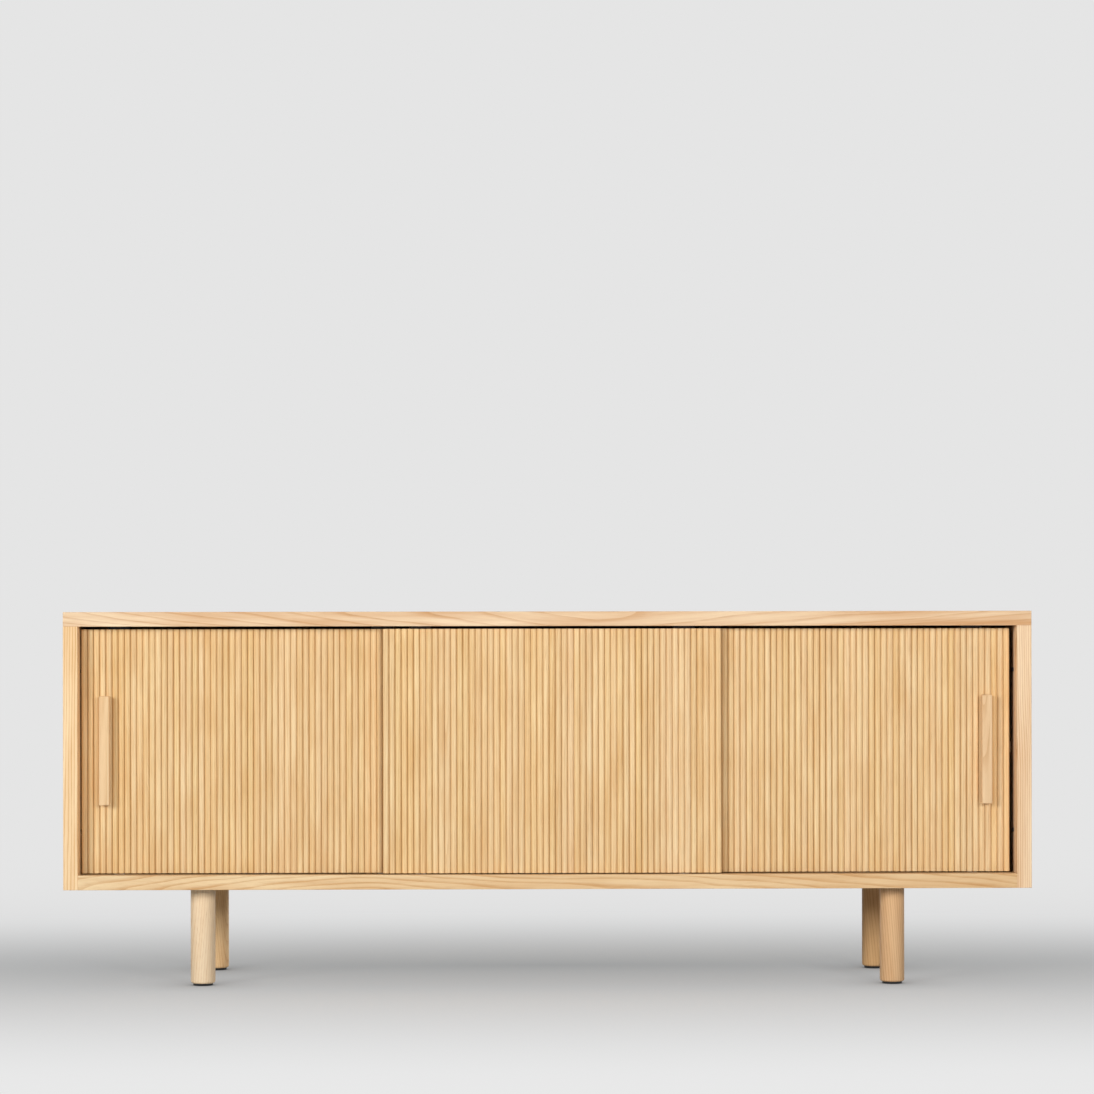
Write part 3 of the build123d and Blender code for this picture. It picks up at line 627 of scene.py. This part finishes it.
slats_tree, given = new_tree("slat_row", {
    "Slat": "NodeSocketGeometry", "Half width": "NodeSocketFloat", "Count": "NodeSocketInt",
    "First": "NodeSocketVector", "Pitch": "NodeSocketVector", "Seed": "NodeSocketInt",
    "Wood": "NodeSocketMaterial",
})
line = add_node(
    slats_tree, "GeometryNodeMeshLine",
    {"Count": given["Count"], "Start Location": given["First"], "Offset": given["Pitch"]},
).outputs["Mesh"]
spot = add_node(slats_tree, "GeometryNodeInputPosition").outputs["Position"]
aside = add_node(slats_tree, "ShaderNodeSeparateXYZ", {"Vector": spot}).outputs["X"]
share = add_node(
    slats_tree, "ShaderNodeMath", {0: aside, 1: given["Half width"]}, operation="DIVIDE"
).outputs[0]
side = add_node(slats_tree, "ShaderNodeMath", {0: share}, operation="ABSOLUTE").outputs[0]
measured = add_node(
    slats_tree, "GeometryNodeStoreNamedAttribute",
    {"Geometry": given["Slat"], "Name": "slat_side", "Value": side}, data_type="FLOAT", domain="POINT",
).outputs["Geometry"]
row = add_node(
    slats_tree, "GeometryNodeInstanceOnPoints", {"Points": line, "Instance": measured}
).outputs["Instances"]
lots = add_node(
    slats_tree, "FunctionNodeRandomValue", {0: (0, 0, 0), 1: (1, 1, 1), "Seed": given["Seed"]},
    data_type="FLOAT_VECTOR",
).outputs[0]
marked = add_node(
    slats_tree, "GeometryNodeStoreNamedAttribute", {"Geometry": row, "Name": "slat_chance", "Value": lots},
    data_type="FLOAT_VECTOR", domain="INSTANCE",
).outputs["Geometry"]
end_tree(slats_tree, marked, given["Wood"])

slat_wood = ash(
    "oiled_ash_slats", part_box("centre_door_slats"), UPRIGHT_DOOR, "#F6D9A8", "#D39F63", early=0.6,
    pith=(0.0, 0.05), spread=0.4, wander=0.005, streak=0.14, vary=0.04, contrast=0.4, chance="slat_chance",
)
tree = slat_wood.node_tree
colour = tree.nodes["Principled BSDF"].inputs["Base Color"]
crown_colour = colour.links[0].from_socket
side = add_node(tree, "ShaderNodeAttribute", attribute_name="slat_side").outputs["Fac"]
drawn = add_node(tree, "ShaderNodeAttribute", attribute_name="slat_chance").outputs["Vector"]
lot = add_node(tree, "ShaderNodeSeparateXYZ", {"Vector": drawn}).outputs["Y"]
groove_shade_depth = add_node(
    tree, "ShaderNodeMapRange", {"Value": lot, "To Min": least_groove_shade, "To Max": most_groove_shade}
).outputs[0]
# Painted shade: each slat darkens over its flanks towards its grooves, by a depth drawn for each slat
groove_shade = add_node(
    tree, "ShaderNodeMapRange", {"Value": side, "From Min": groove_shade_start, "To Max": groove_shade_depth},
    interpolation_type="SMOOTHSTEP",
).outputs[0]
groove_shaded = add_node(
    tree, "ShaderNodeMixRGB", {"Fac": groove_shade, "Color1": crown_colour, "Color2": linear(groove_shade_brown)}
).outputs["Color"]

# Strips that were sawn from one board lie in order, so soft clouds of browner wood run on across them
cloud_width, cloud_length, cloud_brown = 0.04, 0.11, "#CF9C5C"
cloud_rim, cloud_core, cloud_strength = 0.45, 0.75, 0.25
place = add_node(tree, "ShaderNodeTexCoord").outputs["Object"]
spaced = add_node(
    tree, "ShaderNodeVectorMath", {0: place, 1: (1 / cloud_width, 1 / cloud_width, 1 / cloud_length)},
    operation="MULTIPLY",
).outputs[0]
clouds = add_node(
    tree, "ShaderNodeTexNoise", {"Vector": spaced, "Scale": 1.0, "Detail": 2.0}
).outputs["Fac"]
browner = add_node(
    tree, "ShaderNodeMapRange",
    {"Value": clouds, "From Min": cloud_rim, "From Max": cloud_core, "To Max": cloud_strength},
).outputs[0]
clouded = add_node(
    tree, "ShaderNodeMixRGB", {"Fac": browner, "Color1": groove_shaded, "Color2": linear(cloud_brown)}
).outputs["Color"]
tree.links.new(clouded, colour)
for door, seed in zip(DOORS, (2, 7, 12)):
    low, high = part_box(f"{door}_door_slats")
    pitch = (high.x - low.x + slat_gap) / slat_count
    width = pitch - slat_gap
    values = {
        "Half width": width / 2, "Count": slat_count, "First": (low.x + width / 2, 0.0, 0.0),
        "Pitch": (pitch, 0.0, 0.0), "Seed": seed, "Wood": slat_wood,
    }
    slats = grow(f"{door}_slats", slat_mesh(width, low, high), slats_tree, values)
    seat(slats, f"{door}_door", "ash_slats", f"{door}_door_slats")

# Door running gear: black plastic housings let into the lower edge of each door and black guides in the
# upper edge, with steel axles through the housings and moulded nylon rollers on them. The nylon is a
# milky, faintly clouded white.
milk = 0.006
nylon = flecked("moulded_white_nylon", (milk, milk, milk), "#ECEBE4", "#DEDCD2", Roughness=0.42, IOR=1.53)
for door in DOORS:
    dress([f"{door}_door_roller_housings", f"{door}_door_guides"], black)
    dress([f"{door}_door_axles"], zinc)
    dress([f"{door}_door_left_roller", f"{door}_door_right_roller"], nylon)

# Handles: square bars of ash with their corners rounded over by 2 mm, one near the outer edge of each
# side door, screwed on from behind the door.
handle_round, round_steps = 0.002, 4


def bar(name, low, high):
    """A bar that fills a box, with its front edges and its edges along Y rounded over."""
    shape = bmesh.new()
    bmesh.ops.create_cube(shape, size=1.0)
    size, middle = high - low, (high + low) / 2
    fitted = Matrix.Translation(middle) @ Matrix.Diagonal((*size, 1.0))
    bmesh.ops.transform(shape, matrix=fitted, verts=shape.verts)
    front = [e for e in shape.edges if min(v.co.y for v in e.verts) < middle.y]
    bmesh.ops.bevel(
        shape, geom=front, offset=handle_round, segments=round_steps, profile=0.5, affect="EDGES",
        clamp_overlap=True,
    )
    return smooth_mesh(name, shape, sharp=35)


def add_piece(name, mesh, material):
    """Puts a finished mesh in the scene in its material."""
    mesh.materials.append(material)
    piece = bpy.data.objects.new(name, mesh)
    SCENE.collection.objects.link(piece)
    return piece


HANDLE_TONES = {
    "left": ("#F5D3A6", "#D9A56E", 67.0),
    "right": ("#EECB9C", "#CB965D", 71.0),
}
for door, (pale, line, seed) in HANDLE_TONES.items():
    wood = ash(
        f"oiled_ash_{door}_handle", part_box(f"{door}_handle"), UPRIGHT_DOOR, pale, line, stave=1.0,
        pith=(0.0, 0.03), spread=0.01, tilt=(-0.04, 0.04), contrast=0.5, seed=seed,
    )
    handle = add_piece(f"{door}_bar_handle", bar(f"{door}_bar_handle", *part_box(f"{door}_handle")), wood)
    seat(handle, f"{door}_door", "ash_handles", f"{door}_handle")

# Handle screws: two countersunk steel screws to a handle, zinc plated, driven from the back of the door
# with their heads sunk in its board.
handle_screw_head, handle_screw_depth, handle_screw_shank = 0.004, 0.0025, 0.002
for door, seed in (("left", 3), ("right", 4)):
    low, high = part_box(f"{door}_handle_screws")
    middle = (low.x + high.x) / 2
    spots = [(middle, high.y, z) for z in (low.z + handle_screw_head, high.z - handle_screw_head)]
    pattern = cross_screw(handle_screw_head, handle_screw_depth, handle_screw_shank, high.y - low.y)
    made = screws(f"{door}_handle_fixings", spots, HEAD_TO_BACK, pattern, seed=seed)
    seat(made, f"{door}_door", "zinc_steel", f"{door}_handle_screws")

# Leg fixings: a steel plate let into the bottom board over each leg, four screws to hold it, and a bolt
# down into the leg.
dress(["leg_plates", "leg_bolts"], zinc)
HEAD_DOWN = (math.pi, 0.0, 0.0)
leg_screw_head, leg_screw_depth, leg_screw_shank, leg_screw_spacing = 0.0038, 0.0016, 0.002, 0.056
LEGS = ("front_left_leg", "rear_left_leg", "front_right_leg", "rear_right_leg")
low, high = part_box("leg_plate_screws")
leg_middles = {leg: sum(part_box(leg), Vector()) / 2 for leg in LEGS}
offsets = (-leg_screw_spacing / 2, leg_screw_spacing / 2)
spots = [(m.x + dx, m.y + dy, low.z) for m in leg_middles.values() for dx in offsets for dy in offsets]
pattern = cross_screw(leg_screw_head, leg_screw_depth, leg_screw_shank, high.z - low.z)
plate_screws = screws("plate_screws", spots, HEAD_DOWN, pattern, seed=8)
seat(plate_screws, "case", "zinc_steel", "leg_plate_screws")

# Legs: four straight turned ash legs, 46 mm across, rounded over at the foot and bolted up under the
# case. Each is from its own billet, and their tones also carry painted light and shade: the left front leg
# is painted palest, and the right front leg and the two rear legs darker.
UPRIGHT_LEG = (0.0, math.radians(90), 0.0)
leg_round, leg_ease, turned_steps, rim_points = 0.0045, 0.0006, 64, 7


def turned(name, outline, centre):
    """A mesh turned about the upright line through centre, from (radius, height) points."""
    shape = bmesh.new()
    rim = [shape.verts.new((radius, 0, height)) for radius, height in outline]
    edges = [shape.edges.new(pair) for pair in zip(rim, rim[1:])]
    bmesh.ops.spin(
        shape, geom=rim + edges, cent=(0, 0, 0), axis=(0, 0, 1), angle=math.tau, steps=turned_steps
    )
    bmesh.ops.remove_doubles(shape, verts=shape.verts, dist=1e-6)
    bmesh.ops.translate(shape, verts=shape.verts, vec=(centre.x, centre.y, 0))
    bmesh.ops.recalc_face_normals(shape, faces=shape.faces)
    return smooth_mesh(name, shape, sharp=40)


def rounded(radius, height, corner, up):
    """Outline points of a quarter round at a rim; up is 1 on a lower rim and -1 on an upper one."""
    turns = evenly(0.0, math.pi / 2, rim_points)
    return [
        (radius - corner + corner * math.sin(t), height + up * (corner - corner * math.cos(t)))
        for t in turns
    ]


# Each leg's tones hold its wood and also painted light or shade: palest at the left front, darker at the
# right front and rear
LEG_TONES_AND_SHADE = {
    "front_left_leg": ("#FEE7C6", "#ECC69B", 73.0),
    "rear_left_leg": ("#F6D298", "#DBA567", 79.0),
    "front_right_leg": ("#E6C090", "#BF8750", 83.0),
    "rear_right_leg": ("#DDB57D", "#BC884D", 89.0),
}
for leg, (pale, line, seed) in LEG_TONES_AND_SHADE.items():
    low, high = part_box(leg)
    radius = (high.x - low.x) / 2
    outline = [(0.0, low.z)] + rounded(radius, low.z, leg_round, 1)
    outline += rounded(radius, high.z, leg_ease, -1)[::-1] + [(0.0, high.z)]
    wood = ash(
        f"turned_ash_{leg}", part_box(leg), UPRIGHT_LEG, pale, line, stave=1.0, pith=(0.0, 0.05),
        spread=0.02, lean=(-0.1, 0.1), tilt=(-0.15, 0.15), wander=0.01, seed=seed,
    )
    made = add_piece(f"turned_{leg}", turned(f"turned_{leg}", outline, leg_middles[leg]), wood)
    seat(made, "case", "ash_legs", leg)

# Glides: moulded black plastic feet, a little smaller than the legs, with stems that are pressed into
# the ends of the legs.
dress(["leg_glides"], black)

# Floor: a wide matt studio floor, pale grey, with a painted shadow as a soft darker pool where the cabinet
# stands, painted light that makes it a little lighter in front, and a soft shade round each foot. Further
# off it runs into the background.
PALE_GREY = "#E5E5E5"
front_lit_grey, near_start, near_end, near_back, near_gone = "#EBEBEB", -0.2, -1.4, -2.0, -5.0
floor_reach = 40.0
pool_middle, pool_size, pool_shade_tone = Vector((0.0, 0.22, 0.0)), Vector((3.2, 0.62, 1.0)), "#B3B5B6"
fade_size, fade_start, fade_end = Vector((2.4, 1.1, 1.0)), 0.2, 1.4
near_glow, foot_shade_reach = 0.65, 0.12
bpy.ops.mesh.primitive_plane_add(size=2 * floor_reach)
floor = bpy.context.object
floor.name = "studio_floor"
paint, tree, shader = new_material("matt_floor_paint")
shader.inputs["Roughness"].default_value = 0.9
place = add_node(tree, "ShaderNodeTexCoord").outputs["Object"]

# The painted shadow of the pool thins outwards, and painted light makes the floor in front of the cabinet a
# little lighter
beside = add_node(
    tree, "ShaderNodeVectorMath", {0: place, 1: pool_middle}, operation="SUBTRACT"
).outputs[0]
scaled = add_node(tree, "ShaderNodeVectorMath", {0: beside, 1: pool_size}, operation="DIVIDE").outputs[0]
reach = add_node(tree, "ShaderNodeVectorMath", {0: scaled}, operation="LENGTH").outputs["Value"]
pool_shade = add_node(tree, "ShaderNodeMath", {0: math.exp(-1), 1: reach}, operation="POWER").outputs[0]
ahead = add_node(tree, "ShaderNodeSeparateXYZ", {"Vector": place}).outputs["Y"]
brighter = add_node(
    tree, "ShaderNodeMapRange", {"Value": ahead, "From Min": near_start, "From Max": near_end}
).outputs[0]
plainer = add_node(
    tree, "ShaderNodeMapRange", {"Value": ahead, "From Min": near_gone, "From Max": near_back}
).outputs[0]
near = add_node(tree, "ShaderNodeMath", {0: brighter, 1: plainer}, operation="MULTIPLY").outputs[0]
plain = add_node(
    tree, "ShaderNodeMixRGB", {"Fac": near, "Color1": linear(PALE_GREY), "Color2": linear(front_lit_grey)}
).outputs["Color"]
greys = add_node(
    tree, "ShaderNodeMixRGB", {"Fac": pool_shade, "Color1": plain, "Color2": linear(pool_shade_tone)}
).outputs["Color"]
tree.links.new(greys, shader.inputs["Base Color"])

# The eye and shiny faces see the floor partly as its own painted tone glowing unlit, about two thirds of it
# near the cabinet and all of it further off, dimmed only by the shade round the feet
outward = add_node(tree, "ShaderNodeVectorMath", {0: place, 1: fade_size}, operation="DIVIDE").outputs[0]
away = add_node(tree, "ShaderNodeVectorMath", {0: outward}, operation="LENGTH").outputs["Value"]
fade = add_node(
    tree, "ShaderNodeMapRange",
    {"Value": away, "From Min": fade_start, "From Max": fade_end, "To Min": near_glow},
    interpolation_type="SMOOTHSTEP",
).outputs[0]
paths = add_node(tree, "ShaderNodeLightPath").outputs
seen = add_node(
    tree, "ShaderNodeMath", {0: paths["Is Camera Ray"], 1: paths["Is Glossy Ray"]}, operation="MAXIMUM"
).outputs[0]
share = add_node(tree, "ShaderNodeMath", {0: fade, 1: seen}, operation="MULTIPLY").outputs[0]
clear = add_node(tree, "ShaderNodeAmbientOcclusion", {"Distance": foot_shade_reach}).outputs["AO"]
glow = add_node(tree, "ShaderNodeEmission", {"Color": greys, "Strength": clear}).outputs[0]
both = add_node(tree, "ShaderNodeMixShader", {0: share, 1: shader.outputs[0], 2: glow}).outputs[0]
tree.links.new(both, tree.nodes["Material Output"].inputs["Surface"])
floor.data.materials.append(paint)

# Studio light: a large softbox far out on the left, a smaller one in front on the right, a weak wide one
# overhead, one behind that is flagged off the floor, and a faint warm fill. The satin oil mirrors no
# lamp, so the softboxes are kept out of reflections.
lamp_target = Vector((0.0, -0.2, 0.42))
LAMPS = {
    "left_softbox": ((-4.2, -5.3, 1.85), 2.1, 1.8, 230.0),
    "right_softbox": ((2.0, -5.0, 1.5), 0.9, 1.0, 125.0),
    "overhead_softbox": ((0.0, -0.6, 3.2), 4.0, 3.0, 20.0),
    "rear_softbox": ((3.2, 4.6, 2.4), 3.0, 2.0, 220.0),
}
for name, (place, wide, tall, power) in LAMPS.items():
    lamp = bpy.data.lights.new(name, "AREA")
    lamp.shape = "RECTANGLE"
    lamp.size = wide
    lamp.size_y = tall
    lamp.energy = power
    stand = bpy.data.objects.new(name, lamp)
    stand.location = place
    stand.rotation_euler = (lamp_target - Vector(place)).to_track_quat("-Z", "Y").to_euler()
    stand.visible_glossy = False
    SCENE.collection.objects.link(stand)

# The rear softbox lights the cabinet alone, so that the floor in front keeps its tone
cabinet = bpy.data.collections.new("cabinet")
for piece in SCENE.objects:
    if piece.type == "MESH" and piece != floor:
        cabinet.objects.link(piece)
SCENE.objects["rear_softbox"].light_linking.receiver_collection = cabinet

# The warm fill only lights; the eye and shiny faces see a plain wall in its place
fill_strength, fill_tone = 0.05, "#FFF1DF"
world = bpy.data.worlds.new("studio")
world.use_nodes = True
SCENE.world = world
tree = world.node_tree
paths = add_node(tree, "ShaderNodeLightPath").outputs
seen = add_node(
    tree, "ShaderNodeMath", {0: paths["Is Camera Ray"], 1: paths["Is Glossy Ray"]}, operation="MAXIMUM"
).outputs[0]
shown = add_node(
    tree, "ShaderNodeMath", {0: seen, 1: paths["Is Transmission Ray"]}, operation="MAXIMUM"
).outputs[0]
fill = add_node(
    tree, "ShaderNodeBackground", {"Color": linear(fill_tone), "Strength": fill_strength}
).outputs[0]
wall = add_node(tree, "ShaderNodeBackground", {"Color": linear(PALE_GREY), "Strength": 1.0}).outputs[0]
both = add_node(tree, "ShaderNodeMixShader", {0: shown, 1: fill, 2: wall}).outputs[0]
tree.links.new(both, tree.nodes["World Output"].inputs["Surface"])
SCENE.view_settings.view_transform = "Standard"

# Camera: level with the upper part of the case, a little left of its middle and about 6 m away, with
# the lens shifted so that the cabinet sits low in the frame.
camera_place = Vector((-0.0856, -6.2060, 0.6222))
camera_yaw, camera_roll = math.radians(-0.799), math.radians(-0.091)
image_side, focal_pixels, axis_below_middle, sensor = 1094, 3219.7, 106.28, 36.0
view = bpy.data.cameras.new("camera")
view.sensor_width = sensor
view.lens = sensor * focal_pixels / image_side
view.shift_y = axis_below_middle / image_side
camera = bpy.data.objects.new("camera", view)
level = Matrix.Rotation(camera_yaw, 4, "Z") @ Matrix.Rotation(math.pi / 2, 4, "X")
camera.matrix_world = Matrix.Translation(camera_place) @ level @ Matrix.Rotation(camera_roll, 4, "Z")
SCENE.collection.objects.link(camera)
SCENE.camera = camera
